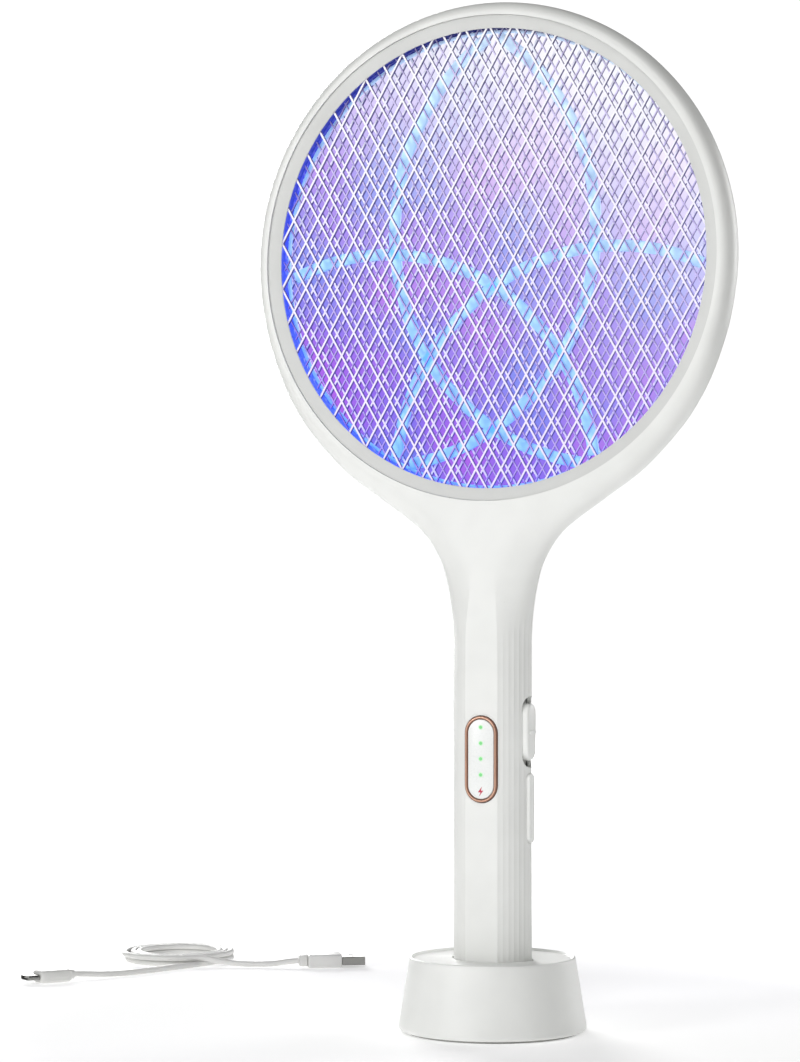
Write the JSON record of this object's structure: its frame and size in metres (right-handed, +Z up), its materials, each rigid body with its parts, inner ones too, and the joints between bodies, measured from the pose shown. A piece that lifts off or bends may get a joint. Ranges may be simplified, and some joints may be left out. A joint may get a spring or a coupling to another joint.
{
  "type": "electric fly swatter",
  "caption": "Cordless electric fly swatter with a round lit wire-mesh head and a faceted handle, standing in a round charging dock, with its loose USB charging cable.",
  "frame": {"origin": "centre of the dock's footprint, on the table", "axes": "+Z up along the handle, -Y out of the face with the indicator panel, +X towards the slide switch"},
  "size_m": [0.3907, 0.2388, 0.4599],
  "materials": {
    "shell_white": "fine satin moulding",
    "dock_white": "fine satin moulding",
    "bezel_grey": "flat satin",
    "grid_wire": "drawn wire",
    "rib_blue": "translucent, lit",
    "light_ring": "translucent, lit violet-blue",
    "trim_rose_gold": "polished rose-gold plating",
    "indicator_window": "satin diffusing white",
    "clear_plastic": "clear moulding",
    "steel": "plated",
    "plug_metal": "stamped, satin",
    "contact_gold": "gold plated",
    "circuit_board": "solder mask",
    "part_black": "moulded",
    "cell_wrap": "shrink-wrapped can",
    "transformer": "taped winding on a ferrite core",
    "capacitor": "dipped",
    "lead_copper": "insulated wire",
    "uv_lamp": "lit violet",
    "foot_rubber": "soft",
    "cable_white": "smooth soft plastic"
  },
  "bodies": {
    "dock": {"dock_shell": "dock_white", "dock_socket": "dock_white", "dock_base_plate": "dock_white", "dock_foot_ring": "foot_rubber", "dock_ballast": "steel", "dock_screw_1": "steel", "dock_screw_2": "steel", "dock_screw_3": "steel", "dock_board": "circuit_board", "usb_c_port": "steel", "contact_block": "part_black"},
    "swatter": {"front_shell": "shell_white", "rear_shell": "shell_white", "switch_surround": "shell_white", "end_cap": "shell_white", "front_bezel": "bezel_grey", "rear_bezel": "bezel_grey", "front_grid": "grid_wire", "charged_grid": "grid_wire", "rear_grid": "grid_wire", "rib_frame": "rib_blue", "light_ring_front": "light_ring", "light_ring_rear": "light_ring", "indicator_trim": "trim_rose_gold", "indicator_window": "indicator_window", "light_guide": "clear_plastic", "shell_screw_1": "steel", "shell_screw_2": "steel", "shell_screw_3": "steel", "shell_screw_4": "steel", "slide_switch": "steel", "contact_pad_left": "contact_gold", "contact_pad_right": "contact_gold", "main_board": "circuit_board", "uv_lamp_board": "circuit_board", "tact_switch": "part_black", "outer_grid_lead": "part_black", "battery_cell": "cell_wrap", "step_up_transformer": "transformer", "high_voltage_capacitor": "capacitor", "charged_grid_lead": "capacitor", "lamp_lead": "lead_copper", "uv_led_1": "uv_lamp", "uv_led_2": "uv_lamp", "uv_led_3": "uv_lamp"},
    "slide_knob": {"slide_knob": "shell_white"},
    "zap_button": {"zap_button": "shell_white", "tact_plunger": "part_black"},
    "contact_pin_left": {"contact_pin_left": "contact_gold"},
    "contact_pin_right": {"contact_pin_right": "contact_gold"},
    "charging_cable": {"cable_coil": "cable_white", "cable_run_c": "cable_white", "cable_run_a": "cable_white", "usb_c_collar": "cable_white", "usb_c_body": "cable_white", "usb_c_tip": "plug_metal", "usb_a_collar": "cable_white", "usb_a_body": "cable_white", "usb_a_shell": "plug_metal"}
  },
  "joints": [
    {"name": "swatter_lift", "type": "slide", "parent": "dock", "child": "swatter", "axis": [0, 0, 1], "range_m": [0, 0.045]},
    {"name": "slide_switch_travel", "type": "slide", "parent": "swatter", "child": "slide_knob", "axis": [0, 0, 1], "range_m": [-0.0033, 0.0033]},
    {"name": "button_press", "type": "slide", "parent": "swatter", "child": "zap_button", "axis": [-1, 0, 0], "range_m": [0, 0.001], "stiffness_N_per_m": 1500},
    {"name": "contact_pin_left_press", "type": "slide", "parent": "dock", "child": "contact_pin_left", "axis": [0, 0, -1], "range_m": [0, 0.0008], "stiffness_N_per_m": 700},
    {"name": "contact_pin_right_press", "type": "slide", "parent": "dock", "child": "contact_pin_right", "axis": [0, 0, -1], "range_m": [0, 0.0008], "stiffness_N_per_m": 700},
    {"name": "cable_lift", "type": "slide", "parent": "dock", "child": "charging_cable", "axis": [0, 0, 1], "range_m": [0, 0.03]}
  ]
}
